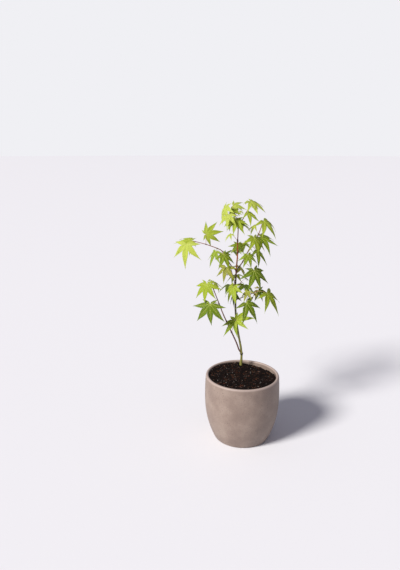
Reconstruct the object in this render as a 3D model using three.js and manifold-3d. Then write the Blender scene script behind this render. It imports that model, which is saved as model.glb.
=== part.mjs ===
// A young Japanese maple growing in a round ceramic pot.
// Millimetres and degrees, +Z up. The origin is the middle of the pot's flat underside.
// A bearing is measured from +X towards +Y, and a rise is measured up from level.

import * as THREE from 'three';
import { mergeVertices } from 'three/addons/utils/BufferGeometryUtils.js';
import Module from 'manifold-3d';

const wasm = await Module();
wasm.setup();

// Pot
const potHeight = 152.5;
const footRadius = 62;
const bellyRadius = 85;
const bellyHeight = 104;
const rimRadius = 83;
const wall = 6.4;
const floorThickness = 10;
const footRounding = 3;
const potSides = 40;

// Compost
const soilLevel = 147.8;
const soilDip = 10; // how much lower it lies beside the wall on the low side
const soilDipBearing = 42;
const moundHeight = 4;
const moundSpread = 19;
const soilBump = 0.9;

// Plant
const plantFoot = new THREE.Vector3(0.7, 54, 150.6);
const flare = 0.55; // share by which the trunk widens at the ground
const flareHeight = 7;
const limbSides = 8;
const limbStep = 12;
const fitGap = 0.3;
const massGap = 0.8; // kept between masses that cross

// Each limb runs from node to node. An internode is [length, bearing, rise], and thick and thin
// are the limb's radii at its base and its tip.
const limbs = {
  trunk: {
    thick: 2.5,
    thin: 1.3,
    internodes: [
      [31, -65, 86], [52, 180, 80], [26, 180, 81], [26, 180, 84], [29, 180, 88],
      [31, 180, 89], [38, 0, 88], [41, 0, 87], [27, 180, 89],
    ],
  },
  second_stem: {
    from: 'trunk', node: 1, thick: 1.7, thin: 0.9,
    internodes: [
      [11, -162, 55], [20, -156, 69], [32, -159, 65], [53, -159, 65], [25, -155, 68], [40, -156, 68],
    ],
  },
  left_bough: {
    from: 'trunk', node: 7, thick: 1.2, thin: 0.7,
    internodes: [[15, 170, 40], [38, 168, 60], [15, 167, 26], [27, 169, 18], [26, 171, 13]],
  },
  right_bough: {
    from: 'trunk', node: 7, thick: 1.3, thin: 0.8,
    internodes: [[27, -20, 56], [17, -25, 65], [25, -25, 62], [29, -19, 59], [31, -36, 71]],
  },
  left_shoot: {
    from: 'trunk', node: 6, thick: 0.9, thin: 0.7,
    internodes: [[28, -131, 70], [15, -146, 69]],
  },
  lower_right_shoot: {
    from: 'trunk', node: 5, thick: 1, thin: 0.7,
    internodes: [[19, -23, 25], [20, -23, 27], [18, -22, 29]],
  },
  top_shoot: {
    from: 'trunk', node: 9, thick: 1.2, thin: 0.7,
    internodes: [[29, 70, 86], [18, 180, 81], [13, 180, 69]],
  },
  leader: {
    from: 'top_shoot', node: 1, thick: 1, thin: 0.7,
    internodes: [[25, 14, 61], [13, 9, 61], [21, 14, 66]],
  },
  back_shoot_upper: {
    from: 'trunk', node: 8, thick: 0.9, thin: 0.7,
    internodes: [[23, 75, 8], [25, 78, 12]],
  },
  back_shoot_lower: {
    from: 'trunk', node: 6, thick: 0.9, thin: 0.7,
    internodes: [[20, 66, -2], [24, 69, 3]],
  },
};

// Each mass of foliage hangs from a node of its limb. Its stalk is [length, bearing, rise], and its
// pad is [reach, bearing, rise] from the end of the stalk, rolled about that line and cut into lobes.
const foliage = {
  left_bough: [
    { name: 'left_tip_upper', node: 5, stalk: [8, 172, 12], pad: [42, 178, -2], roll: -28, lobes: 7 },
    { name: 'left_tip_lower', node: 5, stalk: [24, -144, -6], pad: [52, -115, -72], roll: 0, lobes: 5 },
    { name: 'left_upright', node: 4, stalk: [23, 97, 78], pad: [37, 3, 12], roll: 75, lobes: 7 },
    { name: 'left_inner_back', node: 3, stalk: [13, -108, -23], pad: [33, -147, -56], roll: 0, lobes: 5 },
    { name: 'left_inner_front', node: 2, stalk: [30, -92, 1], pad: [34, -49, -52], roll: 10, lobes: 7 },
  ],
  left_shoot: [
    { name: 'left_middle', node: 2, stalk: [25, -124, 29], pad: [38, -123, -64], roll: 0, lobes: 5 },
  ],
  second_stem: [
    { name: 'second_top_front', node: 6, stalk: [30, -128, 35], pad: [42, -119, -67], roll: 0, lobes: 7 },
    { name: 'second_top_back', node: 6, stalk: [20, 111, 58], pad: [32, 12, -29], roll: 0, lobes: 5 },
    { name: 'second_star', node: 5, stalk: [42, -122, 15], pad: [51, -103, -83], roll: 0, lobes: 7 },
    { name: 'lowest_right', node: 3, stalk: [45, -70, 56], pad: [41, -26, 20], roll: 45, lobes: 5 },
    { name: 'lowest_left', node: 3, stalk: [38, -66, 62], pad: [43, -157, -44], roll: -20, lobes: 5 },
  ],
  trunk: [
    { name: 'centre_front', node: 6, stalk: [23, -105, 17], pad: [40, -146, -55], roll: 0, lobes: 7 },
    { name: 'centre_back', node: 5, stalk: [18, 94, 48], pad: [35, 147, -78], roll: 0, lobes: 5 },
    { name: 'middle_behind', node: 7, stalk: [19, 61, 15], pad: [32, 31, -54], roll: 0, lobes: 5 },
    { name: 'behind_stem', node: 9, stalk: [19, 84, -33], pad: [28, -77, -82], roll: 0, lobes: 7 },
    { name: 'top_small', node: 9, stalk: [30, -132, 38], pad: [19, -151, -30], roll: 0, lobes: 5 },
  ],
  lower_right_shoot: [
    { name: 'lower_right_bronze', node: 2, stalk: [23, -110, 33], pad: [27, -137, -50], roll: 0, lobes: 5 },
    { name: 'lower_right_hanging', node: 2, stalk: [32, -111, -20], pad: [48, -26, -50], roll: 35, lobes: 5 },
    { name: 'lower_right_small', node: 3, stalk: [8, 64, 5], pad: [28, -20, -60], roll: 50, lobes: 5 },
    { name: 'lower_right_tip', node: 3, stalk: [24, -31, 0], pad: [52, -24, -52], roll: 15, lobes: 5 },
  ],
  right_bough: [
    { name: 'middle_star', node: 1, stalk: [38, -50, -22], pad: [46, -45, -58], roll: 15, lobes: 7 },
    { name: 'right_inner', node: 2, stalk: [21, -84, 12], pad: [30, -59, -51], roll: 10, lobes: 7 },
    { name: 'right_narrow', node: 3, stalk: [19, 39, -40], pad: [43, 0, -43], roll: 25, lobes: 5 },
    { name: 'right_upper_front', node: 4, stalk: [25, -118, -5], pad: [38, -55, -53], roll: 0, lobes: 7 },
    { name: 'right_upper_side', node: 4, stalk: [10, 41, -38], pad: [44, -5, -22], roll: 30, lobes: 7 },
    { name: 'right_pale', node: 5, stalk: [27, 125, -26], pad: [22, 157, -24], roll: -30, lobes: 5 },
    { name: 'right_tip', node: 5, stalk: [7, -83, 27], pad: [43, -28, -41], roll: 15, lobes: 5 },
  ],
  leader: [
    { name: 'top_right', node: 3, stalk: [5, 0, 84], pad: [40, -15, -24], roll: 20, lobes: 7 },
    { name: 'top_right_lower', node: 2, stalk: [14, -85, 9], pad: [31, -13, -30], roll: 22, lobes: 5 },
    { name: 'top_front', node: 1, stalk: [29, -128, -2], pad: [35, -111, -50], roll: 0, lobes: 7 },
    { name: 'top_dark', node: 1, stalk: [15, -122, -28], pad: [18, -91, -70], roll: 20, lobes: 5 },
  ],
  top_shoot: [
    { name: 'top_left', node: 3, stalk: [29, -154, 39], pad: [40, -160, -68], roll: 0, lobes: 7 },
    { name: 'top_left_lower', node: 2, stalk: [36, -126, 25], pad: [35, -120, -66], roll: 0, lobes: 5 },
    { name: 'top_centre', node: 3, stalk: [21, 112, 58], pad: [29, -8, -7], roll: 50, lobes: 5 },
    { name: 'top_green', node: 3, stalk: [16, -130, 35], pad: [23, -16, -15], roll: 45, lobes: 5 },
    { name: 'top_hanging', node: 2, stalk: [18, -161, -5], pad: [21, -100, -80], roll: 0, lobes: 5 },
    { name: 'back_top', node: 1, stalk: [31, 76, 8], pad: [36, 77, -23], roll: 0, lobes: 5 },
  ],
  back_shoot_upper: [
    { name: 'back_upper', node: 2, stalk: [12, 67, 12], pad: [41, 80, -30], roll: 0, lobes: 5 },
    { name: 'back_upper_left', node: 1, stalk: [25, 131, -14], pad: [38, 112, -20], roll: 0, lobes: 5 },
  ],
  back_shoot_lower: [
    { name: 'back_lower', node: 2, stalk: [18, 55, -36], pad: [45, 58, -47], roll: 0, lobes: 5 },
    { name: 'back_lower_left', node: 1, stalk: [25, 139, -8], pad: [40, 104, -32], roll: 0, lobes: 5 },
    { name: 'back_middle', node: 2, stalk: [26, 121, 27], pad: [34, 111, -35], roll: 0, lobes: 5 },
  ],
};

// A lobe's bearing from the middle one, and its length as a share of the pad's reach.
const lobeSets = {
  5: [[-95, 0.6], [-45, 0.9], [0, 1], [45, 0.9], [95, 0.6]],
  7: [[-122, 0.4], [-78, 0.74], [-38, 0.94], [0, 1], [38, 0.94], [78, 0.74], [122, 0.4]],
};
const shoulderPlace = 0.55; // along the lobe, where it is widest
const shoulderWidth = 0.115; // half its width, as a share of the reach
const sinusRadius = 0.3; // where two lobes part
const padThickness = 3.2;
const padSag = 0.14; // how far the lobe tips hang below the pad's plane, as a share of the reach
const stalkThick = 0.9; // radius where it meets the pad
const stalkThin = 0.55; // radius where it leaves the limb
const stalkSides = 5;
const lobeVariation = 0.1;

const ceramic = new THREE.MeshStandardMaterial({ color: '#a08c86', roughness: 0.55, metalness: 0 });
const compost = new THREE.MeshStandardMaterial({ color: '#1d120e', roughness: 0.95, metalness: 0 });
const bark = new THREE.MeshStandardMaterial({ color: '#6d6a3a', roughness: 0.7, metalness: 0 });
const leaf = new THREE.MeshStandardMaterial({ color: '#8aa62e', roughness: 0.5, metalness: 0 });

function direction([bearing, rise]) {
  const turn = THREE.MathUtils.degToRad(bearing);
  const lift = THREE.MathUtils.degToRad(rise);
  return new THREE.Vector3(Math.cos(turn) * Math.cos(lift), Math.sin(turn) * Math.cos(lift), Math.sin(lift));
}

function solidOf(geometry) {
  const bare = geometry.clone();
  bare.deleteAttribute('normal');
  bare.deleteAttribute('uv');
  const merged = mergeVertices(bare, 1e-3);
  return new wasm.Manifold(new wasm.Mesh({
    numProp: 3,
    vertProperties: merged.attributes.position.array,
    triVerts: new Uint32Array(merged.index.array),
  }));
}

function geometryOf(solid) {
  const { vertProperties, triVerts } = solid.getMesh();
  const geometry = new THREE.BufferGeometry();
  geometry.setAttribute('position', new THREE.BufferAttribute(vertProperties, 3));
  geometry.setIndex(new THREE.BufferAttribute(triVerts, 1));
  geometry.computeVertexNormals();
  return geometry;
}

// The largest of the bodies that a cut leaves.
function mainBody(solid) {
  return solid.decompose().reduce((best, body) => (body.volume() > best.volume() ? body : best));
}

// The pot's outer radius at a height: a belly that narrows in a curve to the foot and a little to the rim.
function outerRadius(height) {
  if (height < bellyHeight) {
    const down = (bellyHeight - height) / bellyHeight;
    return bellyRadius - (bellyRadius - footRadius) * down ** 2.3;
  }
  const up = (height - bellyHeight) / (potHeight - bellyHeight);
  return bellyRadius - (bellyRadius - rimRadius) * up ** 2;
}

function potGeometry() {
  const lipRadius = wall / 2;
  const lipHeight = potHeight - lipRadius;
  const profile = [
    new THREE.Vector2(0, 0),
    new THREE.Vector2(outerRadius(0) - footRounding, 0),
    new THREE.Vector2(outerRadius(0) - footRounding * 0.3, footRounding * 0.3),
  ];
  for (const height of [3, 18, 36, 58, 80, 104, 128]) {
    profile.push(new THREE.Vector2(outerRadius(height), height));
  }
  for (let angle = 0; angle <= 180; angle += 45) {
    const turn = THREE.MathUtils.degToRad(angle);
    const middle = outerRadius(lipHeight) - lipRadius;
    const out = middle + lipRadius * Math.cos(turn);
    profile.push(new THREE.Vector2(out, lipHeight + lipRadius * Math.sin(turn)));
  }
  for (const height of [128, 104, 80, 58, 36, floorThickness]) {
    profile.push(new THREE.Vector2(outerRadius(height) - wall, height));
  }
  profile.push(new THREE.Vector2(0, floorThickness));
  return new THREE.LatheGeometry(profile, potSides);
}

// The compost's surface: near the rim, lower on one side, and mounded round the trunk.
function soilHeight(x, y) {
  const out = Math.hypot(x, y) / rimRadius;
  const side = Math.atan2(y, x) - THREE.MathUtils.degToRad(soilDipBearing);
  const dip = soilDip * out ** 4 * Math.max(0, Math.cos(side)) ** 3;
  const fromTrunk = Math.hypot(x - plantFoot.x, y - plantFoot.y);
  const mound = moundHeight * Math.exp(-((fromTrunk / moundSpread) ** 2));
  const bumps = soilBump * (Math.sin(x * 0.21 + 1) * Math.cos(y * 0.17) + Math.sin(x * 0.09 - y * 0.13));
  const away = Math.min(1, Math.max(0, fromTrunk - 8) / 10);
  const level = soilLevel + mound - dip + bumps * away;
  const patch = plantFoot.z - fitGap;
  return patch + (level - patch) * away;
}

// Compost down to the pot's floor, with a flat patch under the trunk's foot.
function soilGeometry() {
  const profile = [new THREE.Vector2(0, floorThickness + fitGap)];
  for (const height of [floorThickness + fitGap, 36, 58, 80, 104, 128]) {
    profile.push(new THREE.Vector2(outerRadius(height) - wall - fitGap, height));
  }
  const edge = rimRadius - wall - fitGap;
  for (const share of [1, 0.9, 0.78, 0.64, 0.48, 0.32, 0.16, 0]) {
    profile.push(new THREE.Vector2(edge * share, soilLevel));
  }
  const geometry = new THREE.LatheGeometry(profile, potSides);
  geometry.rotateX(Math.PI / 2);
  const position = geometry.attributes.position;
  for (let i = 0; i < position.count; i += 1) {
    if (position.getZ(i) > soilLevel - 1) {
      position.setZ(i, soilHeight(position.getX(i), position.getY(i)));
    }
  }
  return geometry;
}

// The nodes of every limb, each worked out from the limb that it leaves.
const limbNodes = {};
for (const [name, limb] of Object.entries(limbs)) {
  const nodes = [limb.from ? limbNodes[limb.from][limb.node] : plantFoot];
  for (const [length, ...heading] of limb.internodes) {
    nodes.push(nodes.at(-1).clone().addScaledVector(direction(heading), length));
  }
  limbNodes[name] = nodes;
}

// A tapering limb through its nodes, with flat ends. Extra is added all round for a clearance cut.
function limbGeometry(name, extra = 0) {
  const { thick, thin } = limbs[name];
  const curve = new THREE.CatmullRomCurve3(limbNodes[name], false, 'centripetal');
  const length = curve.getLength();
  const steps = Math.max(4, Math.round(length / limbStep));
  const frames = curve.computeFrenetFrames(steps, false);
  const geometry = new THREE.CylinderGeometry(1, 1, 1, limbSides, steps);
  const position = geometry.attributes.position;
  for (let i = 0; i < position.count; i += 1) {
    const along = THREE.MathUtils.clamp(position.getY(i) + 0.5, 0, 1);
    const step = Math.round(along * steps);
    const spread = name === 'trunk' ? 1 + flare * Math.exp((-along * length) / flareHeight) : 1;
    const radius = THREE.MathUtils.lerp(thick, thin, along) * spread + extra;
    const point = curve.getPointAt(along)
      .addScaledVector(frames.normals[step], radius * position.getX(i))
      .addScaledVector(frames.binormals[step], -radius * position.getZ(i));
    if (step === 0) {
      point.addScaledVector(frames.tangents[0], -extra);
    }
    if (step === steps) {
      point.addScaledVector(frames.tangents[steps], extra);
    }
    if (step === 0 && !limbs[name].from) {
      point.z = plantFoot.z - extra;
    }
    position.setXYZ(i, point.x, point.y, point.z);
  }
  return geometry;
}

// A repeatable stream of numbers from 0 to 1, so that each pad is uneven in its own way.
function seededRandom(seed) {
  let state = seed * 2654435761 + 97;
  return () => {
    state = (Math.imul(state ^ (state >>> 15), 2246822519) + 374761393) >>> 0;
    return (state >>> 8) / 2 ** 24;
  };
}

// The outline of a pad, lobe by lobe from right to left, as [angle from its heading, radius].
function lobeOutline(pad, lobes, random) {
  const outline = [];
  const set = lobeSets[lobes];
  const shoulderTurn = THREE.MathUtils.radToDeg(Math.atan2(shoulderWidth, shoulderPlace));
  set.forEach(([angle, share], i) => {
    const length = pad[0] * share * (1 + lobeVariation * (2 * random() - 1));
    const shoulder = length * shoulderPlace / Math.cos(THREE.MathUtils.degToRad(shoulderTurn));
    const turn = shoulderTurn * Math.min(1, 1.15 / (share + 0.15));
    outline.push([angle - turn, shoulder], [angle, length], [angle + turn, shoulder]);
    if (i < set.length - 1) {
      const nextShare = set[i + 1][1];
      outline.push([(angle + set[i + 1][0]) / 2, pad[0] * sinusRadius * Math.min(share, nextShare)]);
    }
  });
  const basal = pad[0] * 0.1;
  return [[-160, basal], ...outline, [160, basal]];
}

// Where a mass sits: the node that it leaves, the hub at its stalk's end, and the directions of its pad.
function placeOf(limbName, mass) {
  const start = limbNodes[limbName][mass.node];
  const hub = start.clone().addScaledVector(direction(mass.stalk.slice(1)), mass.stalk[0]);
  const heading = direction(mass.pad.slice(1));
  const side = new THREE.Vector3(0, 0, 1).cross(heading).normalize();
  side.applyAxisAngle(heading, THREE.MathUtils.degToRad(mass.roll));
  return { start, hub, heading, side, up: heading.clone().cross(side) };
}

// A closed pad: a lens over its lobed outline, thick at the hub and sagging to its tips.
function padGeometry({ hub, heading, side, up }, mass, seed, extra) {
  const outline = lobeOutline(mass.pad, mass.lobes, seededRandom(seed));
  const rings = [[0, 0.5], [1, 0], [0, -0.5]];
  const geometry = new THREE.SphereGeometry(1, outline.length, rings.length - 1);
  const position = geometry.attributes.position;
  for (let i = 0; i < position.count; i += 1) {
    const [angle, radius] = outline[(i % (outline.length + 1)) % outline.length];
    const [share, height] = rings[Math.floor(i / (outline.length + 1))];
    const turn = THREE.MathUtils.degToRad(angle);
    const out = (radius + extra) * share;
    const sag = (padSag * (radius * share) ** 2) / mass.pad[0];
    const point = hub.clone()
      .addScaledVector(heading, out * Math.cos(turn))
      .addScaledVector(side, out * Math.sin(turn))
      .addScaledVector(up, height * (padThickness + 2 * extra) - sag);
    position.setXYZ(i, point.x, point.y, point.z);
  }
  return geometry;
}

// A straight stalk from the limb's node to the pad's hub.
function stalkGeometry({ start, hub }, extra) {
  const length = start.distanceTo(hub);
  const geometry = new THREE.CylinderGeometry(stalkThick + extra, stalkThin + extra, length, stalkSides);
  geometry.translate(0, length / 2, 0);
  const along = hub.clone().sub(start).normalize();
  geometry.applyQuaternion(new THREE.Quaternion().setFromUnitVectors(new THREE.Vector3(0, 1, 0), along));
  geometry.translate(start.x, start.y, start.z);
  return geometry;
}

// One mass of foliage: the pad and its stalk in one body. Extra is added all round for a clearance cut.
function massSolid(limbName, mass, seed, extra = 0) {
  const place = placeOf(limbName, mass);
  const pad = solidOf(padGeometry(place, mass, seed, extra));
  return pad.add(solidOf(stalkGeometry(place, extra)));
}

function addMesh(group, name, geometry, material) {
  const mesh = new THREE.Mesh(geometry, material);
  mesh.name = name;
  group.add(mesh);
}

const maple = new THREE.Group();
addMesh(maple, 'pot', potGeometry().rotateX(Math.PI / 2), ceramic);
addMesh(maple, 'soil', soilGeometry(), compost);

const plant = new THREE.Group();
maple.add(plant);
const clearances = {};
for (const [name, limb] of Object.entries(limbs)) {
  clearances[name] = solidOf(limbGeometry(name, fitGap));
  const whole = solidOf(limbGeometry(name));
  const fitted = limb.from ? mainBody(whole.subtract(clearances[limb.from])) : whole;
  addMesh(plant, name, geometryOf(fitted), bark);
}
const kept = Object.values(clearances);
Object.entries(foliage).forEach(([limbName, masses], row) => {
  masses.forEach((mass, place) => {
    const seed = row * 10 + place;
    const whole = massSolid(limbName, mass, seed);
    const fitted = kept.reduce((solid, other) => solid.subtract(other), whole);
    addMesh(plant, `foliage_${mass.name}`, geometryOf(mainBody(fitted)), leaf);
    kept.push(massSolid(limbName, mass, seed, massGap));
  });
});

export default maple;
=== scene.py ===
# A young Japanese maple in a round stoneware pot.
# Metres, +Z up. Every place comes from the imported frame.

import math
import random

import bmesh
import bpy
from mathutils import Matrix, Vector, noise
from mathutils.bvhtree import BVHTree
from mathutils.kdtree import KDTree


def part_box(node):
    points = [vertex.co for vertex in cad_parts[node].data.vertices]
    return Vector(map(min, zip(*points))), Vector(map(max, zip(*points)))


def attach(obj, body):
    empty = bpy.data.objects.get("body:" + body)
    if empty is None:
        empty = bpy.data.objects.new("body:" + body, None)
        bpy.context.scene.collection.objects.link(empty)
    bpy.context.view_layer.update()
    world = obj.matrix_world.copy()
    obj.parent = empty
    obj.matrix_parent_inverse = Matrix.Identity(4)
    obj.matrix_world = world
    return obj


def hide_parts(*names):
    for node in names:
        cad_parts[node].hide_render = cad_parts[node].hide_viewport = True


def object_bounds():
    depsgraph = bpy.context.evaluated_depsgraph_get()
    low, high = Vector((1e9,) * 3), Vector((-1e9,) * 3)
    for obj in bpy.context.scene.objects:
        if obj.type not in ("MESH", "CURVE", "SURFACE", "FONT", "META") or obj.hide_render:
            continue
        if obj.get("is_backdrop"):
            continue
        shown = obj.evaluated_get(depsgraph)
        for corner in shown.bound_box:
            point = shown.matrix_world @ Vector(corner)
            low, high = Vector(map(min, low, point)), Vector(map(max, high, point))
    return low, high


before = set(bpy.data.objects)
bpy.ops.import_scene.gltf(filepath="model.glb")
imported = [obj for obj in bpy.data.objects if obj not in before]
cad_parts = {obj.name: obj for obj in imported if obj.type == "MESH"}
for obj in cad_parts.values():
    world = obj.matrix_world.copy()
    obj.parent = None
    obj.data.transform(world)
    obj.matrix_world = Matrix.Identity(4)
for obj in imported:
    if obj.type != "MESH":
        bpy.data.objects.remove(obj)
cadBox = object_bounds()
upward = Vector((0, 0, 1))


def paint(hexColour):
    # a screen colour as the linear one that a shader takes
    shares = [int(hexColour[i:i + 2], 16) / 255 for i in (1, 3, 5)]
    return tuple(s / 12.92 if s < 0.04045 else ((s + 0.055) / 1.055) ** 2.4 for s in shares) + (1,)


def easeBetween(low, high, value):
    share = min(1, max(0, (value - low) / (high - low)))
    return share * share * (3 - 2 * share)


def readNode(name):
    # a welded copy of a CAD node
    copy = bmesh.new()
    copy.from_mesh(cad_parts[name].data)
    bmesh.ops.remove_doubles(copy, verts=copy.verts, dist=2e-6)
    return copy


def layGrid(bm, across, along, place, slot=0):
    # a sheet of quads, each corner put where place(u, v) says
    grid = bmesh.ops.create_grid(bm, x_segments=across, y_segments=along, size=0.5)
    for vert in grid["verts"]:
        vert.co = place(vert.co.x + 0.5, vert.co.y + 0.5)
    for face in {face for vert in grid["verts"] for face in vert.link_faces}:
        face.material_index = slot
        face.smooth = True
    return grid["verts"]


def railFrames(points):
    # side and front directions along a rail, carried from point to point with no twist
    frames = []
    tangent = (points[1] - points[0]).normalized()
    side = tangent.orthogonal().normalized()
    for i, point in enumerate(points):
        ahead = points[min(i + 1, len(points) - 1)]
        behind = points[max(i - 1, 0)]
        turned = (ahead - behind).normalized()
        side = tangent.rotation_difference(turned) @ side
        side = (side - turned * side.dot(turned)).normalized()
        tangent = turned
        frames.append((side, turned.cross(side)))
    return frames


def sweepTube(bm, points, radius, sides, slot=0):
    # a closed round skin along a rail; radius(share along, turn) gives its radius
    frames = railFrames(points)
    last = len(points) - 1

    def place(u, v):
        ring = round(v * (last + 2)) - 1
        turn = -2 * math.pi * u
        if ring < 0 or ring > last:
            return points[0].copy() if ring < 0 else points[last].copy()
        side, front = frames[ring]
        out = radius(ring / last, turn)
        return points[ring] + side * out * math.cos(turn) + front * out * math.sin(turn)

    skin = layGrid(bm, sides, last + 2, place, slot)
    bmesh.ops.remove_doubles(bm, verts=skin, dist=1e-7)


def curveThrough(knots, step):
    # points a step apart on a smooth curve through the knots
    points = []
    for i in range(len(knots) - 1):
        a = knots[max(i - 1, 0)]
        b, c = knots[i], knots[i + 1]
        d = knots[min(i + 2, len(knots) - 1)]
        pieces = max(1, round((c - b).length / step))
        for k in range(pieces):
            t = k / pieces
            points.append(
                0.5 * (2 * b + (c - a) * t + (2 * a - 5 * b + 4 * c - d) * t ** 2
                       + (3 * b - a - 3 * c + d) * t ** 3)
            )
    points.append(knots[-1].copy())
    return points


def nearestOn(points, target):
    return min(range(len(points)), key=lambda i: (points[i] - target).length_squared)


def makePiece(name, bm, materials, nodes=()):
    mesh = bpy.data.meshes.new(name)
    bm.to_mesh(mesh)
    bm.free()
    for material in materials:
        mesh.materials.append(material)
    piece = bpy.data.objects.new(name, mesh)
    bpy.context.scene.collection.objects.link(piece)
    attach(piece, "root")
    if nodes:
        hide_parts(*nodes)


# Materials

def startMaterial(name, roughness, specular=0.5):
    material = bpy.data.materials.new(name)
    material.use_nodes = True
    tree = material.node_tree
    surface = tree.nodes["Principled BSDF"]
    surface.inputs["Roughness"].default_value = roughness
    surface.inputs["Specular IOR Level"].default_value = specular
    return material, tree, surface


def addNoise(tree, scale, detail=4, roughness=0.55, stretch=(1, 1, 1)):
    coordinates = tree.nodes.new("ShaderNodeTexCoord")
    mapping = tree.nodes.new("ShaderNodeMapping")
    mapping.inputs["Scale"].default_value = stretch
    texture = tree.nodes.new("ShaderNodeTexNoise")
    texture.inputs["Scale"].default_value = scale
    texture.inputs["Detail"].default_value = detail
    texture.inputs["Roughness"].default_value = roughness
    tree.links.new(coordinates.outputs["Object"], mapping.inputs["Vector"])
    tree.links.new(mapping.outputs["Vector"], texture.inputs["Vector"])
    return texture.outputs["Fac"]


def addRamp(tree, value, stops):
    ramp = tree.nodes.new("ShaderNodeValToRGB")
    while len(ramp.color_ramp.elements) < len(stops):
        ramp.color_ramp.elements.new(0.5)
    for element, (place, colour) in zip(ramp.color_ramp.elements, stops):
        element.position = place
        element.color = paint(colour)
    tree.links.new(value, ramp.inputs["Fac"])
    return ramp.outputs["Color"]


def addMix(tree, factor, first, second, blend="MIX"):
    mix = tree.nodes.new("ShaderNodeMix")
    mix.data_type = "RGBA"
    mix.blend_type = blend
    for socket, value in ((mix.inputs[0], factor), (mix.inputs[6], first), (mix.inputs[7], second)):
        if isinstance(value, bpy.types.NodeSocket):
            tree.links.new(value, socket)
        else:
            socket.default_value = value
    return mix.outputs[2]


def addRange(tree, value, low, high, first=0, last=1):
    span = tree.nodes.new("ShaderNodeMapRange")
    for name, number in (("From Min", low), ("From Max", high), ("To Min", first), ("To Max", last)):
        span.inputs[name].default_value = number
    tree.links.new(value, span.inputs["Value"])
    return span.outputs["Result"]


def addBump(tree, surface, heights):
    # each height is (value, strength, depth in metres)
    normal = None
    for value, strength, depth in heights:
        bump = tree.nodes.new("ShaderNodeBump")
        bump.inputs["Strength"].default_value = strength
        bump.inputs["Distance"].default_value = depth
        tree.links.new(value, bump.inputs["Height"])
        if normal:
            tree.links.new(normal, bump.inputs["Normal"])
        normal = bump.outputs["Normal"]
    tree.links.new(normal, surface.inputs["Normal"])


def glazedStoneware():
    material, tree, surface = startMaterial("glazed_stoneware", 0.5, 0.45)
    cloud = addNoise(tree, 26, 5, 0.6)
    body = addRamp(tree, cloud, ((0.3, "#7b6a61"), (0.5, "#87766c"), (0.72, "#96867b")))
    speck = addRange(tree, addNoise(tree, 620, 2, 0.5), 0.62, 0.72)
    body = addMix(tree, speck, body, paint("#5f4f4a"))
    coordinates = tree.nodes.new("ShaderNodeTexCoord")
    heights = tree.nodes.new("ShaderNodeSeparateXYZ")
    tree.links.new(coordinates.outputs["Object"], heights.inputs["Vector"])
    # painted highlight: the top of the lip is mixed to a lighter colour, standing in for the light that
    # catches the rim
    lip = addRange(tree, heights.outputs["Z"], 0.148, 0.1517)
    body = addMix(tree, lip, body, paint("#a6958d"))
    tree.links.new(body, surface.inputs["Base Color"])
    tree.links.new(addRange(tree, cloud, 0.3, 0.7, 0.42, 0.58), surface.inputs["Roughness"])
    throwing = addNoise(tree, 40, 3, 0.5, (0.05, 0.05, 9))
    grit = addNoise(tree, 900, 3, 0.6)
    addBump(tree, surface, ((throwing, 0.25, 0.0005), (grit, 0.2, 0.0002)))
    return material


def dampCompost():
    material, tree, surface = startMaterial("damp_compost", 0.9, 0.14)
    crumbs = addNoise(tree, 260, 6, 0.7)
    earth = addRamp(tree, crumbs, ((0.32, "#040201"), (0.5, "#0c0604"), (0.64, "#170b07"), (0.78, "#281610")))
    tree.links.new(earth, surface.inputs["Base Color"])
    addBump(tree, surface, ((crumbs, 0.8, 0.0012), (addNoise(tree, 1100, 4, 0.7), 0.6, 0.0004)))
    return material


def earthBit(name, dark, light, roughness):
    material, tree, surface = startMaterial(name, roughness, 0.16)
    grain = addNoise(tree, 480, 4, 0.65)
    tree.links.new(addRamp(tree, grain, ((0.35, dark), (0.68, light))), surface.inputs["Base Color"])
    addBump(tree, surface, ((grain, 0.6, 0.0004),))
    return material


def youngBark():
    material, tree, surface = startMaterial("young_bark", 0.55, 0.4)
    tone = tree.nodes.new("ShaderNodeAttribute")
    tone.attribute_name = "barkTone"
    streaks = addNoise(tree, 420, 5, 0.65, (1, 1, 0.22))
    shade = addRamp(tree, streaks, ((0.3, "#c9c3be"), (0.55, "#ece9e6"), (0.75, "#ffffff")))
    colour = addMix(tree, 1.0, tone.outputs["Color"], shade, "MULTIPLY")
    fleck = addRange(tree, addNoise(tree, 1300, 2, 0.5, (1, 1, 0.5)), 0.66, 0.74)
    colour = addMix(tree, fleck, colour, paint("#8f8068"))
    tree.links.new(colour, surface.inputs["Base Color"])
    addBump(tree, surface, ((streaks, 0.5, 0.0003), (addNoise(tree, 2600, 3, 0.6), 0.3, 0.0001)))
    return material


def leafBlade(name, tint, glow):
    # a thin blade: what it reflects, and the yellower light that comes through it
    material, tree, surface = startMaterial(name, 0.46, 0.28)
    surface.inputs["Base Color"].default_value = paint(tint)
    cells = addNoise(tree, 900, 4, 0.6)
    addBump(tree, surface, ((cells, 0.35, 0.0002), (addNoise(tree, 210, 3, 0.5), 0.3, 0.0008)))
    through = tree.nodes.new("ShaderNodeBsdfTranslucent")
    through.inputs["Color"].default_value = paint(glow)
    blend = tree.nodes.new("ShaderNodeMixShader")
    blend.inputs["Fac"].default_value = 0.4
    tree.links.new(surface.outputs["BSDF"], blend.inputs[1])
    tree.links.new(through.outputs["BSDF"], blend.inputs[2])
    tree.links.new(blend.outputs["Shader"], tree.nodes["Material Output"].inputs["Surface"])
    return material


def softStem(name, low, high):
    material, tree, surface = startMaterial(name, 0.42, 0.45)
    streaks = addNoise(tree, 300, 4, 0.6)
    tree.links.new(addRamp(tree, streaks, ((0.35, low), (0.65, high))), surface.inputs["Base Color"])
    addBump(tree, surface, ((addNoise(tree, 1800, 3, 0.6), 0.3, 0.0001),))
    return material


# Pot

pot = {
    "wall": 0.0064,
    "footShare": 62 / 85,  # of the belly's radius
    "rimShare": 83 / 85,
    "bellyHeight": 104 / 152.5,  # of the whole height
    "floor": 0.010,
    "footRounding": 0.003,
    "steps": 22,
    "turns": 144,
}
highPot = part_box("pot")[1]
bellyRadius = highPot.x
rimHeight = highPot.z


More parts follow.
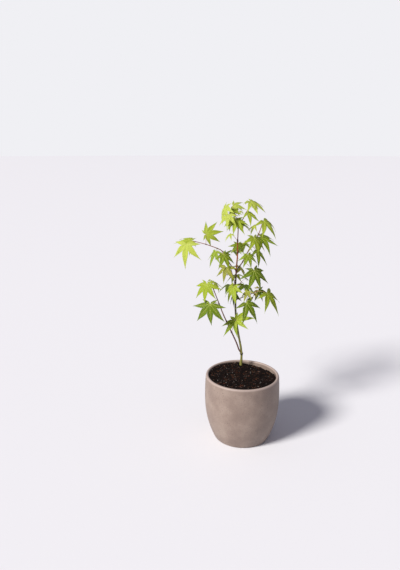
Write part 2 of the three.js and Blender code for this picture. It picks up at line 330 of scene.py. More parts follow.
def potRadius(height):
    belly = pot["bellyHeight"] * rimHeight
    if height < belly:
        return bellyRadius * (1 - (1 - pot["footShare"]) * ((belly - height) / belly) ** 2.3)
    return bellyRadius * (1 - (1 - pot["rimShare"]) * ((height - belly) / (rimHeight - belly)) ** 2)


def throwPot():
    # the half outline, from the middle underneath, up the outside, over the lip and down inside
    outline = [(0, 0)]
    steps = pot["steps"]
    outline += [(potRadius(rimHeight * i / steps), rimHeight * i / steps) for i in range(steps + 1)]
    inside = [rimHeight + (pot["floor"] - rimHeight) * i / steps for i in range(steps + 1)]
    outline += [(potRadius(height) - pot["wall"], height) for height in inside] + [(0, pot["floor"])]
    bm = bmesh.new()
    corners = [bm.verts.new((radius, 0, height)) for radius, height in outline]
    for first, second in zip(corners, corners[1:]):
        bm.edges.new((first, second))
    rounding = {"affect": "VERTICES", "segments": 8, "profile": 0.5, "material": -1, "offset_type": "OFFSET"}
    lip = [corners[steps + 1], corners[steps + 2]]
    bmesh.ops.bevel(bm, geom=lip, offset=pot["wall"] * 0.46, **rounding)
    turned = [vert for vert in bm.verts if vert.co.z < 1e-6 and vert.co.x > bellyRadius * 0.5]
    turned += [vert for vert in bm.verts if abs(vert.co.z - pot["floor"]) < 1e-6 and vert.co.x > 0.01]
    bmesh.ops.bevel(bm, geom=turned, offset=pot["footRounding"], **rounding)
    bmesh.ops.spin(
        bm, geom=bm.verts[:] + bm.edges[:], cent=(0, 0, 0), axis=upward, dvec=(0, 0, 0),
        angle=2 * math.pi, steps=pot["turns"], use_merge=True, use_duplicate=False,
    )
    bmesh.ops.remove_doubles(bm, verts=bm.verts, dist=1e-6)
    bmesh.ops.recalc_face_normals(bm, faces=bm.faces)
    for face in bm.faces:
        face.smooth = True
    makePiece("stoneware_pot", bm, [glazedStoneware()], ["pot"])


throwPot()
print("pot thrown")


# Compost

compost = {
    "rings": 54,
    "spokes": 200,
    "sideRings": 5,  # down its side, inside the pot
    "topEdge": 0.134,  # height where that side starts
    "lift": 0.0011,  # of the lumps in its surface
    "lumps": ((130, 1, 3.1), (330, 0.7, 7.7), (700, 0.4, 1.3)),  # scale, share and place in the noise
    "ragged": (75, 0.0016, 9.4),  # scale, height and place of the uneven edge
    # how many, least and greatest half length, width and height as shares of it, depth sunk, slots
    "crumbs": (2300, 0.0006, 0.0021, (0.9, 0.6), 0.35, (0, 0, 0, 1)),
    "chips": (260, 0.0013, 0.0036, (0.55, 0.22), 0.3, (1, 1, 2)),
    "grit": (130, 0.0005, 0.0011, (0.9, 0.7), 0.1, (3,)),
    "fibres": 90,
    "fibreLength": (0.004, 0.010),
    "fibre": 0.00022,  # radius
}
soilCopy = readNode("soil")
soilTree = BVHTree.FromBMesh(soilCopy)
soilCopy.free()
lowSoil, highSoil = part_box("soil")
soilRadius = highSoil.x


def soilTop(x, y):
    inward = min(1, (soilRadius - 0.0004) / max(1e-6, math.hypot(x, y)))
    hit = soilTree.ray_cast(Vector((x * inward, y * inward, 1)), -upward)[0]
    return hit.z


def soilLumps(x, y):
    lumps = 0
    for scale, share, place in compost["lumps"]:
        lumps += share * noise.noise(Vector((x * scale, y * scale, place)))
    edge = easeBetween(0.8, 1, math.hypot(x, y) / soilRadius)
    scale, height, place = compost["ragged"]
    return compost["lift"] * lumps + height * edge * noise.noise(Vector((x * scale, y * scale, place)))


def fillSoil():
    rings, spokes = compost["rings"], compost["spokes"]
    sideRings, topEdge = compost["sideRings"], compost["topEdge"]
    base = lowSoil.z

    def place(u, v):
        turn = 2 * math.pi * u
        ring = round(v * (rings + sideRings + 1))
        if ring <= rings:
            out = (soilRadius * 0.999) * ring / rings
            x, y = out * math.cos(turn), out * math.sin(turn)
            return Vector((x, y, soilTop(x, y) + soilLumps(x, y)))
        if ring > rings + sideRings:
            return Vector((0, 0, base))
        height = topEdge + (base - topEdge) * (ring - rings - 1) / (sideRings - 1)
        out = potRadius(height) - pot["wall"] - 0.0003
        return Vector((out * math.cos(turn), out * math.sin(turn), height))

    bm = bmesh.new()
    layGrid(bm, spokes, rings + sideRings + 1, place)
    bmesh.ops.remove_doubles(bm, verts=bm.verts, dist=1e-6)
    bmesh.ops.recalc_face_normals(bm, faces=bm.faces)
    makePiece("compost", bm, [dampCompost()], ["soil"])


def scatterSpot(dice, margin):
    out = (soilRadius - margin) * math.sqrt(dice.random())
    turn = dice.uniform(0, 2 * math.pi)
    return out * math.cos(turn), out * math.sin(turn)


def scatterBits():
    # crumbs, bark chips and pale grit, half sunk in the surface
    dice = random.Random(41)
    bm = bmesh.new()
    for kind in ("crumbs", "chips", "grit"):
        count, small, large, (wide, flat), sunk, slots = compost[kind]
        for _ in range(count):
            size = small + (large - small) * dice.random() ** 2.2
            x, y = scatterSpot(dice, size + 0.0006)
            height = soilTop(x, y) + soilLumps(x, y) + size * flat * (0.6 - sunk)
            tilt = Matrix.Rotation(dice.gauss(0, 0.35), 4, "X") @ Matrix.Rotation(dice.gauss(0, 0.35), 4, "Y")
            turn = Matrix.Rotation(dice.uniform(0, 6.28), 4, "Z")
            shape = Matrix.Diagonal((size, size * wide, size * flat, 1))
            lump = bmesh.ops.create_icosphere(
                bm, subdivisions=1, radius=1,
                matrix=Matrix.Translation((x, y, height)) @ tilt @ turn @ shape,
            )
            slot = dice.choice(slots)
            for vert in lump["verts"]:
                vert.co += Vector([dice.gauss(0, size * flat * 0.16) for _ in range(3)])
            for face in {face for vert in lump["verts"] for face in vert.link_faces}:
                face.material_index = slot
    materials = [
        earthBit("peat_crumb", "#070302", "#180c08", 0.9),
        earthBit("bark_chip", "#120806", "#301a12", 0.8),
        earthBit("rusty_chip", "#30150b", "#5a2f1e", 0.75),
        earthBit("pale_grit", "#6f6a66", "#a9a49c", 0.6),
    ]
    makePiece("compost_bits", bm, materials)


def scatterFibres():
    dice = random.Random(77)
    bm = bmesh.new()
    for _ in range(compost["fibres"]):
        x, y = scatterSpot(dice, 0.008)
        turn = dice.uniform(0, 6.28)
        length = dice.uniform(*compost["fibreLength"])
        knots = []
        for k in range(4):
            along = length * (k / 3 - 0.5)
            turn += dice.gauss(0, 0.35)
            px, py = x + along * math.cos(turn), y + along * math.sin(turn)
            lift = 0.0006 + 0.0008 * dice.random()
            knots.append(Vector((px, py, soilTop(px, py) + soilLumps(px, py) + lift)))
        sweepTube(bm, curveThrough(knots, 0.0012), lambda along, turned: compost["fibre"] * (1.2 - along), 4)
    makePiece("compost_fibres", bm, [earthBit("root_fibre", "#5b3a28", "#8a6248", 0.8)])


fillSoil()
scatterBits()
scatterFibres()
print("compost filled")


# Limbs

limbs = {
    # each limb: the one that it leaves, the sides of its skin, and its bark's tones along it
    "trunk": {
        "from": None, "sides": 18,
        "tones": (
            (0, "olive"), (0.3, "olive"), (0.45, "moss"), (0.6, "grey"), (0.72, "umber"),
            (0.8, "russet"), (1, "russet"),
        ),
    },
    "second_stem": {"from": "trunk", "sides": 14, "tones": ((0, "olive"), (0.08, "mauve"), (1, "rose"))},
    "left_bough": {"from": "trunk", "sides": 12, "tones": ((0, "umber"), (0.3, "mauve"), (1, "rose"))},
    "right_bough": {"from": "trunk", "sides": 12, "tones": ((0, "umber"), (0.3, "mauve"), (1, "rose"))},
    "left_shoot": {"from": "trunk", "sides": 10, "tones": ((0, "mauve"), (1, "rose"))},
    "lower_right_shoot": {"from": "trunk", "sides": 10, "tones": ((0, "mauve"), (1, "rose"))},
    "top_shoot": {"from": "trunk", "sides": 12, "tones": ((0, "mauve"), (0.5, "rose"), (1, "olive"))},
    "leader": {"from": "top_shoot", "sides": 10, "tones": ((0, "mauve"), (1, "rose"))},
    "back_shoot_upper": {"from": "trunk", "sides": 10, "tones": ((0, "mauve"), (1, "rose"))},
    "back_shoot_lower": {"from": "trunk", "sides": 10, "tones": ((0, "umber"), (1, "rose"))},
}
bark = {
    "cuts": 26,
    "ring": 0.0011,  # along the limb, between rings of the skin
    "fullness": 1.16,  # of the bark over the wood
    "ridge": 0.055,  # height of the ridges, as a share of the radius
    "swelling": 0.36,  # at a node
    "fork": 1.4,  # size of the node where a limb leaves another
    "nodeLength": 0.0017,
    "tones": {
        "olive": "#8d8c48", "moss": "#5c5b36", "grey": "#51463f", "umber": "#4a3128", "russet": "#a2501f",
        "mauve": "#7a5b52", "rose": "#9a6656", "node": "#1a0c09",
    },
}
tones = {name: Vector(paint(colour)[:3]) for name, colour in bark["tones"].items()}


def readLimb(name):
    # the middle line and radius of a CAD limb, from its foot to its tip
    cad = readNode(name)
    some = next(iter(cad.verts)).co.copy()
    first = max((vert.co.copy() for vert in cad.verts), key=lambda co: (co - some).length)
    second = max((vert.co.copy() for vert in cad.verts), key=lambda co: (co - first).length)
    parent = limbs[name]["from"]
    if parent:
        line = limbs[parent]["line"]
        nearness = [min((co - point).length for point in line) for co in (first, second)]
        foot, tip = (first, second) if nearness[0] < nearness[1] else (second, first)
    else:
        foot, tip = sorted((first, second), key=lambda co: co.z)
    knots, radii = [], []
    for i in range(bark["cuts"]):
        share = 0.02 + 0.96 * i / (bark["cuts"] - 1)
        point = foot.lerp(tip, share)
        whole = cad.verts[:] + cad.edges[:] + cad.faces[:]
        cut = bmesh.ops.bisect_plane(cad, geom=whole, plane_co=point, plane_no=tip - foot, dist=1e-7)
        ring = [item.co for item in cut["geom_cut"] if isinstance(item, bmesh.types.BMVert)]
        if len(ring) < 5:
            continue
        middle = sum(ring, Vector()) / len(ring)
        knots.append(middle)
        radii.append(min((co - middle).length for co in ring))
    cad.free()
    usual = sorted(radii)[len(radii) // 2]
    while radii[0] < 0.85 * usual:
        knots.pop(0)
        radii.pop(0)
    end = knots[-1] + (knots[-1] - knots[-2]).normalized() * (tip - knots[-1]).length
    start = knots[0].copy()
    if parent:
        # back along its own line to the middle of the limb that it leaves
        back = (knots[0] - knots[2]).normalized()
        close = [point for point in limbs[parent]["line"] if (point - knots[0]).length < 0.014]
        start = min(close, key=lambda point: (point - knots[0]).cross(back).length).copy()
    else:
        start.z = foot.z
    knots = [start] + knots + [end]
    radii = [radii[0]] + radii + [radii[-1]]
    points = curveThrough(knots, bark["ring"])
    lengths = [0.0]
    for a, b in zip(knots, knots[1:]):
        lengths.append(lengths[-1] + (b - a).length)
    along = [0.0]
    for a, b in zip(points, points[1:]):
        along.append(along[-1] + (b - a).length)
    thickness = []
    for length in along:
        share = length / along[-1] * lengths[-1]
        i = max(k for k in range(len(lengths) - 1) if lengths[k] <= share or k == 0)
        part = (share - lengths[i]) / (lengths[i + 1] - lengths[i])
        thickness.append(radii[i] + (radii[i + 1] - radii[i]) * min(1, part))
    limbs[name].update(line=points, along=along, thickness=thickness, foot=start, tip=end)


for name in limbs:
    readLimb(name)


# Foliage: where each leaf hangs, from the CAD's masses

foliage = {
    # each limb's masses: the tint of the leaf in each, and its lobes
    "left_bough": {
        "left_tip_upper": ("lime", 7), "left_tip_lower": ("lemon", 5), "left_upright": ("lime", 7),
        "left_inner_back": ("meadow", 5), "left_inner_front": ("meadow", 7),
    },
    "left_shoot": {"left_middle": ("olive", 5)},
    "second_stem": {
        "second_top_front": ("spring", 7), "second_top_back": ("pale", 5), "second_star": ("fern", 7),
        "lowest_right": ("spring", 5), "lowest_left": ("meadow", 5),
    },
    "trunk": {
        "centre_front": ("spring", 7), "centre_back": ("forest", 5), "middle_behind": ("olive", 5),
        "behind_stem": ("meadow", 7), "top_small": ("pale", 5),
    },
    "lower_right_shoot": {
        "lower_right_bronze": ("olive", 5), "lower_right_hanging": ("fern", 5),
        "lower_right_small": ("forest", 5), "lower_right_tip": ("spring", 5),
    },
    "right_bough": {
        "middle_star": ("fern", 7), "right_inner": ("meadow", 7), "right_narrow": ("meadow", 5),
        "right_upper_front": ("spring", 7), "right_upper_side": ("meadow", 7),
        "right_pale": ("lemon", 5), "right_tip": ("lime", 5),
    },
    "leader": {
        "top_right": ("lemon", 7), "top_right_lower": ("lime", 5), "top_front": ("spring", 7),
        "top_dark": ("forest", 5),
    },
    "top_shoot": {
        "top_left": ("pale", 7), "top_left_lower": ("lemon", 5), "top_centre": ("pale", 5),
        "top_green": ("spring", 5), "top_hanging": ("lime", 5), "back_top": ("lime", 5),
    },
    "back_shoot_upper": {"back_upper": ("spring", 5), "back_upper_left": ("meadow", 5)},
    "back_shoot_lower": {
        "back_lower": ("fern", 5), "back_lower_left": ("meadow", 5), "back_middle": ("spring", 5),
    },
}
tints = {
    # what a blade reflects, and what comes through it
    "pale": ("#c4d164", "#d8e060"),
    "lemon": ("#c3cf5a", "#d6de5c"),
    "lime": ("#b3c440", "#ccd43c"),
    "spring": ("#a4b72c", "#c2cc2c"),
    "meadow": ("#8ea624", "#aebc26"),
    "fern": ("#748e1c", "#96a61e"),
    "forest": ("#5c7a0e", "#829a10"),
    "olive": ("#989a38", "#b8b436"),
    "bronze": ("#9c8838", "#b68a38"),
}
leafShape = {
    "lobeSets": {
        # each lobe's turn from the middle one, and its length as a share of the longest
        5: ((-95, 0.6), (-45, 0.9), (0, 1), (45, 0.9), (95, 0.6)),
        7: ((-122, 0.4), (-78, 0.74), (-38, 0.94), (0, 1), (38, 0.94), (78, 0.74), (122, 0.4)),
    },
    "hubLift": 0.0016,  # from a pad's middle to its top
    "padSag": 0.14,
    "sinus": 0.35,  # where two lobes part, as a share of the shorter one
    "basalTurn": 33,  # from the last lobe to the edge beside the stalk
    "basal": 0.12,
    "tipReach": 1.06,  # how far the blade's tips pass the pad's
    "halfWidth": 0.136,  # of a lobe, as a share of its length
    "widest": 0.14,  # along its free part
    "webRows": 4,
    "teeth": 11,
    "toothDepth": 0.02,
    "columns": 6,
    "thickness": 0.00028,
    "sag": 0.14,
    "sideDroop": 0.6,  # how much further the side lobes of a level leaf hang
    "pleat": 0.34,  # how far each half lobe rises from its midrib
    "hook": 0.4,  # where a lobe starts to bend and twist, as a share of where its web ends
    "droop": (-0.03, 0.13),  # of a lobe's tip, as a share of its length
    "bend": 0.05,
    "twist": 0.45,
    "breadths": (0.92, 1.1),
    "taper": (1.6, 0.8),  # of the free part: how sharp it is, and how full before its tip
    "ripple": (160, 0.0005),  # scale and height
}


def readPad(name, lobeCount):
    # the hub, directions, reach and lobes of a CAD pad
    cad = readNode(f"foliage_{name}")
    cad.normal_update()
    lift = leafShape["hubLift"]
    poles = sorted(cad.verts, key=lambda vert: -len(vert.link_edges))[:6]
    pairs = [
        (high, low) for high in poles for low in poles
        if high.co.z > low.co.z and abs((high.co - low.co).length - 2 * lift) < 3e-5
    ]
    if pairs:
        high, low = max(pairs, key=lambda pair: len(pair[0].link_edges) + len(pair[1].link_edges))
        lean = (high.co - low.co).normalized()
        hub = (high.co + low.co) / 2
    else:
        # one pole is inside the stalk: the tips sag away from the upper side
        pole = poles[0]
        sagging = sum((vert.co - pole.co).dot(pole.normal) for vert in cad.verts)
        lean = pole.normal.copy() if sagging < 0 else -pole.normal
        hub = pole.co + (-lean if sagging < 0 else lean) * lift
    far = max((vert.co - hub).length for vert in cad.verts)
    for _ in range(4):
        tilt, spread = Vector(), 0
        for vert in cad.verts:
            offset = vert.co - hub
            height = offset.dot(lean)
            flat = offset - lean * height
            height += leafShape["padSag"] * flat.length_squared / far
            if flat.length > 0.35 * far and abs(height) < 0.004:
                tilt += flat * height * 2
                spread += flat.length_squared
        lean = (lean - tilt / spread * 0.8).normalized() if not pairs else lean
    level = lean.orthogonal().normalized()
    cross = lean.cross(level)
    rim = []
    for vert in cad.verts:
        offset = vert.co - hub
        flat = offset - lean * offset.dot(lean)
        rim.append((math.degrees(math.atan2(flat.dot(cross), flat.dot(level))), flat.length))
    corners = [vert.co.copy() for vert in cad.verts]
    cad.free()

    def reachAt(turn, spread):
        near = [out for angle, out in rim if abs((angle - turn + 180) % 360 - 180) < spread]
        return max(near, default=0)

    # the heading whose lobes reach furthest, from the middle of the turns that do about as well
    lobeSet = leafShape["lobeSets"][lobeCount]
    scores = [sum(share * reachAt(start + turn, 4) for turn, share in lobeSet) for start in range(360)]
    heading = Vector()
    for start, score in enumerate(scores):
        if score > 0.995 * max(scores):
            heading += level * math.cos(math.radians(start)) + cross * math.sin(math.radians(start))
    heading.normalize()
    facing = math.degrees(math.atan2(heading.dot(cross), heading.dot(level)))
    reach = max(reachAt(facing + turn, 7) for turn, share in lobeSet[1:-1])
    lobes = []
    for turn, share in lobeSet:
        length = reachAt(facing + turn, 7)
        whole = 0.8 * share * reach < length < 1.3 * share * reach
        lobes.append((math.radians(turn), leafShape["tipReach"] * (length if whole else share * reach)))
    return {
        "hub": hub, "up": lean, "heading": heading, "side": lean.cross(heading), "reach": reach,
        "lobes": lobes, "corners": corners,
    }


def stalkFoot(limb, pad):
    # the index of the point of the limb's line that the pad's stalk leaves
    line = limb["line"]
    beside = []
    for corner in pad["corners"]:
        i = nearestOn(line, corner)
        if (line[i] - corner).length < limb["thickness"][i] + 0.0013:
            beside.append(corner)
    corner = min(beside or pad["corners"], key=lambda co: (co - pad["hub"]).dot(pad["heading"]))
    along = (corner - pad["hub"]).normalized()
    close = [i for i in range(len(line)) if (line[i] - corner).length < 0.006]
    return min(close or [nearestOn(line, corner)], key=lambda i: (line[i] - corner).cross(along).length)


def growLobe(bm, pad, i, dice, slot):
    # one lobe: a web shared with its neighbours, then a toothed blade that tapers to a long tip
    shape = leafShape
    turn, length = pad["lobes"][i]
    edges = []
    for step in (-1, 1):
        if 0 <= i + step < len(pad["lobes"]):
            nextTurn, nextLength = pad["lobes"][i + step]
            edges.append(((nextTurn - turn) / 2, shape["sinus"] * min(length, nextLength)))
        else:
            edges.append((step * math.radians(shape["basalTurn"]), shape["basal"] * pad["reach"]))
    webRows, freeRows = shape["webRows"], 3 * shape["teeth"]
    webEnds = [parting * math.cos(spread) for spread, parting in edges]
    hookPoint = shape["hook"] * (webEnds[0] + webEnds[1]) / 2
    droop = dice.uniform(*shape["droop"])
    bend = dice.uniform(-shape["bend"], shape["bend"])
    twist = dice.uniform(-shape["twist"], shape["twist"])
    breadth = shape["halfWidth"] * length * dice.uniform(*shape["breadths"])
    sharp, full = shape["taper"]
    rippleScale, rippleHeight = shape["ripple"]

    def edgeAt(which, row):
        # how far along and across the lobe its edge is, on the left (0) or the right (1)
        spread, parting = edges[which]
        if row <= webRows:
            out = parting * row / webRows
            return out * math.cos(spread), out * math.sin(spread)
        step = row - webRows
        share = step / freeRows
        start = parting * math.cos(spread)
        low = abs(parting * math.sin(spread))
        if share < shape["widest"]:
            half = low + (breadth - low) * easeBetween(0, shape["widest"], share)
        else:
            rest = (share - shape["widest"]) / (1 - shape["widest"])
            half = breadth * (1 - rest) ** sharp * (1 + full * rest)
        tooth = step % 3
        big = 1 if (step // 3) % 2 else 0.6
        fade = min(1, 3 * share) * min(1, 1.8 * (1 - share))
        half += shape["toothDepth"] * pad["reach"] * big * fade * (0, 0.5, 1)[tooth]
        lean = (0, 0.1, 0.55)[tooth] if step < freeRows else 0
        along = start + (length - start) * (share + lean * fade / freeRows)
        return along, half if spread > 0 else -half

    def onBlade(along, across, lift=0):
        # a point of the blade, from how far along and across its lobe it is
        out = max(0, (along - hookPoint) / (length - hookPoint))
        across += bend * length * out ** 2
        rise = shape["pleat"] * abs(across) * (1 - 0.5 * out) + lift
        rise += twist * across * out ** 2
        x = along * math.cos(turn) - across * math.sin(turn)
        y = along * math.sin(turn) + across * math.cos(turn)
        rise -= shape["sag"] * (x * x + y * y) / pad["reach"] + droop * length * out ** 3
        rise -= shape["sideDroop"] * max(0, pad["up"].z) * y * y / pad["reach"]
        rise += rippleHeight * noise.noise(Vector((x * rippleScale, y * rippleScale, pad["seed"])))
        return pad["hub"] + pad["heading"] * x + pad["side"] * y + pad["up"] * rise

    def blade(u, v):
        row = round(v * (webRows + freeRows))
        left, right = edgeAt(0, row), edgeAt(1, row)
        middle = (left[0] + right[0]) / 2
        if row > webRows:
            share = (row - webRows) / freeRows
            middle = sum(start + (length - start) * share for start in webEnds) / 2
        across = 1 - 2 * u
        edge = right if across > 0 else left
        share = abs(across)
        return onBlade(middle + (edge[0] - middle) * share, edge[1] * share)

    layGrid(bm, shape["columns"], webRows + freeRows, blade, slot)
    return onBlade, edgeAt, length


veinShape = {
    "rib": 0.00042,  # radius of a midrib at the hub of a leaf of the usual reach
    "usualReach": 0.045,
    "ribLift": 0.00016,
    "vein": 0.00012,
    "veinLift": 0.00013,
    "slant": 1.15,  # how far a side vein runs towards the tip, as a share of how far across
}


def growVeins(bm, onBlade, edgeAt, length, reach):
    # the raised midrib of a lobe, and side veins that lean towards its tip
    shape = veinShape
    rail = [onBlade(length * (0.02 + 0.94 * k / 14), 0, shape["ribLift"]) for k in range(15)]
    thick = shape["rib"] * (reach / shape["usualReach"]) ** 0.5
    sweepTube(bm, rail, lambda along, turned: thick * (1 - 0.85 * along), 5)
    webRows, freeRows = leafShape["webRows"], 3 * leafShape["teeth"]
    for row in range(webRows + 2, webRows + freeRows - 7, 3):
        for which in (0, 1):
            endAlong, endAcross = edgeAt(which, row)
            startAlong = endAlong - abs(endAcross) * shape["slant"]
            vein = []
            for k in range(4):
                share = k / 3 * 0.92
                along = startAlong + (endAlong - startAlong) * share
                vein.append(onBlade(along, endAcross * share ** 1.2, shape["veinLift"]))
            sweepTube(bm, vein, lambda along, turned: shape["vein"] * (1 - 0.6 * along), 3)


def growLeaf(bm, veinBm, pad, dice, slot):
    leaf = bmesh.new()
    ribs = bmesh.new()
    for i in range(len(pad["lobes"])):
        onBlade, edgeAt, length = growLobe(leaf, pad, i, dice, slot)
        growVeins(ribs, onBlade, edgeAt, length, pad["reach"])
    bmesh.ops.remove_doubles(leaf, verts=leaf.verts, dist=2e-6)
    leaf.normal_update()
    under = [(vert, vert.normal.copy()) for vert in leaf.verts]
    bmesh.ops.extrude_face_region(leaf, geom=leaf.faces[:], use_keep_orig=True)
    for vert, normal in under:
        vert.co -= normal * leafShape["thickness"]
    bmesh.ops.recalc_face_normals(leaf, faces=leaf.faces)
    for small, whole in ((leaf, bm), (ribs, veinBm)):
        mesh = bpy.data.meshes.new("part")
        small.to_mesh(mesh)
        small.free()
        whole.from_mesh(mesh)
        bpy.data.meshes.remove(mesh)


stalks = {
    "base": 0.00095,
    "middle": 0.00046,
    "hub": 0.0006,
    "bow": 0.07,  # how far a stalk arches, as a share of its length
    "bows": (0.4, 1.5),
    "sway": 0.06,
    "swollen": 0.0022,  # length of its thick foot
    "rosyShare": 0.65,  # of the stalks, the rest are green
    "sides": 8,
    "ring": 0.0012,  # along the stalk, between rings of its skin
}
shoots = {
    # the unfurling leaves at the end of each limb: how many, their reach and their tint
    "top_shoot": (5, 0.015, "pale"),
    "leader": (3, 0.012, "lemon"),
    "left_bough": (1, 0.006, "lime"),
    "right_bough": (2, 0.010, "lime"),
    "second_stem": (2, 0.010, "spring"),
    "left_shoot": (2, 0.008, "olive"),
    "lower_right_shoot": (2, 0.010, "bronze"),
    "back_shoot_upper": (2, 0.012, "spring"),
    "back_shoot_lower": (2, 0.012, "fern"),
}
budShape = {"length": 0.0026, "width": 0.0012, "lean": 0.55}


def growStalk(bm, start, hub, lean, dice, slot, slim=1.0):
    # a leaf stalk that arches up from its limb and hangs to the hub of the blade
    span = hub - start
    bow = upward * span.length * stalks["bow"] * dice.uniform(*stalks["bows"])
    bow += span.cross(upward) * dice.uniform(-stalks["sway"], stalks["sway"])
    end = hub - lean * 0.0003
    knots = [start, start.lerp(end, 0.3) + bow * 0.8, start.lerp(end, 0.65) + bow, end]
    swollen = stalks["swollen"] / max(span.length, 0.004)

    def radius(share, turned):
        plain = stalks["middle"] + (stalks["hub"] - stalks["middle"]) * easeBetween(0.8, 1, share)
        return slim * (plain + (stalks["base"] - plain) * math.exp(-((share / swollen) ** 2)))

    sweepTube(bm, curveThrough(knots, stalks["ring"]), radius, stalks["sides"], slot)


def growBud(bm, place, heading, size, slot):
    # a small pointed bud with two scales
    turn = upward.rotation_difference(heading).to_matrix().to_4x4()
    for scale, share in ((1, 1), (0.86, 1.12)):
        width, length = budShape["width"] * size, budShape["length"] * size
        shape = Matrix.Diagonal((width * scale, width, length * share, 1))
        bud = bmesh.ops.create_uvsphere(
            bm, u_segments=10, v_segments=8, radius=0.5,
            matrix=Matrix.Translation(place + heading * length * 0.4) @ turn @ shape,
        )
        for vert in bud["verts"]:
            reach = (vert.co - place).dot(heading) / length
            if reach > 0.4:
                axis = place + heading * (vert.co - place).dot(heading)
                vert.co = axis + (vert.co - axis) * max(0.1, 1 - 0.8 * (reach - 0.4))
        for face in {face for vert in bud["verts"] for face in vert.link_faces}:
            face.material_index = slot
            face.smooth = True


def youngPad(limb, i, reach, dice):
    # the place of an unfurling leaf, by turns round the end of its limb
    line = limb["line"]
    ahead = (line[-1] - line[-6]).normalized()
    side = ahead.orthogonal().normalized()
    around = side * math.cos(i * 2.4) + ahead.cross(side) * math.sin(i * 2.4)
    start = line[-1 - min(len(line) - 1, round(i * 4 + dice.uniform(0, 3)))]
    hub = start + (ahead * dice.uniform(0.3, 1) + around) * reach * dice.uniform(0.7, 1.3)
    heading = (around + ahead * 0.2 - upward * dice.uniform(0.5, 1.2)).normalized()
    side = upward.cross(heading).normalized()
    size = reach * dice.uniform(0.7, 1.25)
    lobes = [
        (math.radians(turn), size * share * dice.uniform(0.9, 1.1))
        for turn, share in leafShape["lobeSets"][5]
    ]
    return start, {
        "hub": hub, "up": heading.cross(side), "heading": heading, "side": side, "reach": size,
        "lobes": lobes, "seed": dice.random() * 50,
    }


tintNames = list(tints)
dice = random.Random(12)
bladeMaterials = [leafBlade(f"blade_{name}", *tints[name]) for name in tintNames]
veins, leafStalks, buds = bmesh.new(), bmesh.new(), bmesh.new()
joints = {name: [(0, bark["fork"])] if limb["from"] else [] for name, limb in limbs.items()}
for name, limb in limbs.items():
    if limb["from"]:
        joints[limb["from"]].append((nearestOn(limbs[limb["from"]]["line"], limb["foot"]), bark["fork"]))
for limbName, masses in foliage.items():
    limb = limbs[limbName]
    leaves = bmesh.new()
    for massName, (tint, lobeCount) in masses.items():
        pad = readPad(massName, lobeCount)
        pad["seed"] = dice.random() * 50
        growLeaf(leaves, veins, pad, dice, tintNames.index(tint))
        foot = stalkFoot(limb, pad)
        joints[limbName].append((foot, 1))
        line = limb["line"]
        stalkSlot = 0 if dice.random() < stalks["rosyShare"] else 1
        growStalk(leafStalks, line[foot], pad["hub"], pad["up"], dice, stalkSlot)
        outward = (pad["hub"] - line[foot]).normalized()
        ahead = (line[min(foot + 3, len(line) - 1)] - line[max(foot - 3, 0)]).normalized()
        axil = (ahead + outward * budShape["lean"]).normalized()
        growBud(buds, line[foot] + axil * limb["thickness"][foot], axil, dice.uniform(0.7, 1.1), 0)
    if limbName in shoots:
        count, reach, tint = shoots[limbName]
        for i in range(count):
            start, pad = youngPad(limb, i, reach, dice)
            growLeaf(leaves, veins, pad, dice, tintNames.index(tint))
            growStalk(leafStalks, start, pad["hub"], pad["up"], dice, 0, 0.6)
        ahead = (limb["line"][-1] - limb["line"][-4]).normalized()
        growBud(buds, limb["line"][-1] - ahead * 0.0004, ahead, 1.3, 0)
    makePiece(f"leaves_{limbName}", leaves, bladeMaterials, [f"foliage_{name}" for name in masses])
    print(f"leaves of {limbName} grown")
makePiece("leaf_veins", veins, [softStem("leaf_rib", "#a9b64e", "#c2c765")])
stalkMaterials = [softStem("rosy_stalk", "#a06a55", "#b98a6b"), softStem("green_stalk", "#8c8a45", "#a8a55c")]
makePiece("leaf_stalks", leafStalks, stalkMaterials)
makePiece("buds", buds, [softStem("bud_scale", "#4a1d14", "#7c3a26")])


def nodeShare(distance, size):
    # how much of a node is left at some distance from it
    return math.exp(-((distance / (size * bark["nodeLength"])) ** 2))


def growLimb(name):
    # the limb's skin: ridged bark, swollen joints and its colours along its length
    limb = limbs[name]
    line, along, thickness = limb["line"], limb["along"], limb["thickness"]
    joined = [(along[i], size) for i, size in joints[name]]
    phase = sum(map(ord, name)) % 50

    def radius(share, turned):
        i = round(share * (len(line) - 1))
        swell = max(size * nodeShare(along[i] - joint, size) for joint, size in joined)
        wrapped = Vector((math.cos(turned) * 1.3, math.sin(turned) * 1.3, along[i] * 70 + phase))
        ridge = noise.noise(wrapped) + 0.5 * noise.noise(wrapped * 2.3)
        return thickness[i] * bark["fullness"] * (1 + bark["swelling"] * swell + bark["ridge"] * ridge)

    bm = bmesh.new()
    sweepTube(bm, line, radius, limb["sides"])
    tone = bm.verts.layers.float_color.new("barkTone")
    nearest = KDTree(len(line))
    for i, point in enumerate(line):
        nearest.insert(point, i)
    nearest.balance()
    for vert in bm.verts:
        reached = along[nearest.find(vert.co)[1]]
        share = reached / along[-1]
        colour = tones[limb["tones"][0][1]]
        for (low, before), (high, after) in zip(limb["tones"], limb["tones"][1:]):
            if share >= low:
                colour = tones[before].lerp(tones[after], easeBetween(low, high, share))
        dark = max(nodeShare(reached - joint, 1.1 * size) for joint, size in joined)
        colour = colour.lerp(tones["node"], 0.86 * dark)
        vert[tone] = (*colour, 1)
    makePiece(f"{name}_bark", bm, [barkMaterial], [name])


barkMaterial = youngBark()
for name in limbs:
    growLimb(name)
print("limbs grown")


# Floor, lights and camera

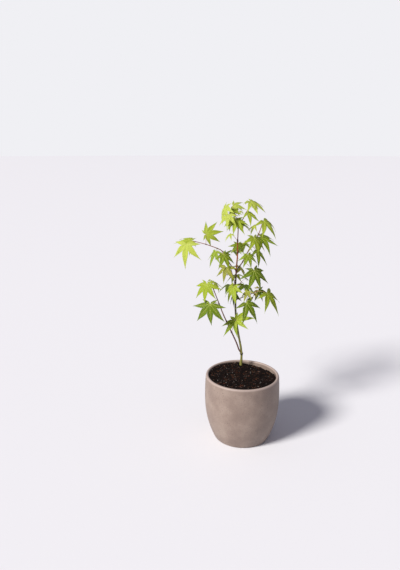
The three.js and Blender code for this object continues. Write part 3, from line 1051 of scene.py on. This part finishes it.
studio = {
    "floorRadius": 30,
    "floorColour": "#e6e6ea",
    "skyColour": "#f0f0f4",
    "skyLight": 0.3,
    "skyTint": (0.86, 0.84, 1, 1),
    "keyFrom": (-0.75, -0.55, 0.66),
    "keyPower": 4.7,
    "keySpread": 16,  # degrees across
    "keyTint": (1, 0.97, 0.93),
    "cameraPlace": (-0.0965, -1.091, 0.659),
    "cameraTilt": 74.8,  # degrees up from straight down
    "lens": 520 / 570,  # focal length as a share of the sensor
    "sensor": 36,
}


def layFloor():
    bm = bmesh.new()
    bmesh.ops.create_circle(bm, cap_ends=True, segments=96, radius=studio["floorRadius"])
    mesh = bpy.data.meshes.new("studio_floor")
    bm.to_mesh(mesh)
    bm.free()
    material, tree, surface = startMaterial("studio_floor", 0.9, 0.2)
    surface.inputs["Base Color"].default_value = paint(studio["floorColour"])
    mesh.materials.append(material)
    floor = bpy.data.objects.new("studio_floor", mesh)
    bpy.context.scene.collection.objects.link(floor)
    floor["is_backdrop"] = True


def hangKey():
    data = bpy.data.lights.new("key_light", "SUN")
    data.energy = studio["keyPower"]
    data.angle = math.radians(studio["keySpread"])
    data.color = studio["keyTint"]
    light = bpy.data.objects.new("key_light", data)
    light.location = Vector(studio["keyFrom"]) * 2
    light.rotation_euler = Vector(studio["keyFrom"]).to_track_quat("Z", "Y").to_euler()
    bpy.context.scene.collection.objects.link(light)


def lightSky():
    world = bpy.data.worlds.new("studio_sky")
    bpy.context.scene.world = world
    world.use_nodes = True
    tree = world.node_tree
    seen = tree.nodes["Background"]
    seen.inputs["Color"].default_value = paint(studio["skyColour"])
    seen.inputs["Strength"].default_value = 1
    lit = tree.nodes.new("ShaderNodeBackground")
    lit.inputs["Color"].default_value = studio["skyTint"]
    lit.inputs["Strength"].default_value = studio["skyLight"]
    path = tree.nodes.new("ShaderNodeLightPath")
    mix = tree.nodes.new("ShaderNodeMixShader")
    tree.links.new(path.outputs["Is Camera Ray"], mix.inputs["Fac"])
    tree.links.new(lit.outputs["Background"], mix.inputs[1])
    tree.links.new(seen.outputs["Background"], mix.inputs[2])
    tree.links.new(mix.outputs["Shader"], tree.nodes["World Output"].inputs["Surface"])


def placeCamera():
    data = bpy.data.cameras.new("camera")
    data.sensor_width = studio["sensor"]
    data.lens = studio["lens"] * studio["sensor"]
    data.clip_end = 100
    camera = bpy.data.objects.new("camera", data)
    camera.location = studio["cameraPlace"]
    camera.rotation_euler = (math.radians(studio["cameraTilt"]), 0, 0)
    bpy.context.scene.collection.objects.link(camera)
    bpy.context.scene.camera = camera


layFloor()
hangKey()
lightSky()
placeCamera()
bpy.context.scene.view_settings.view_transform = "Standard"
print("studio ready")

boxes = {"cad": cadBox, "visual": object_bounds()}
{name: [list(corner) for corner in box] for name, box in boxes.items()}
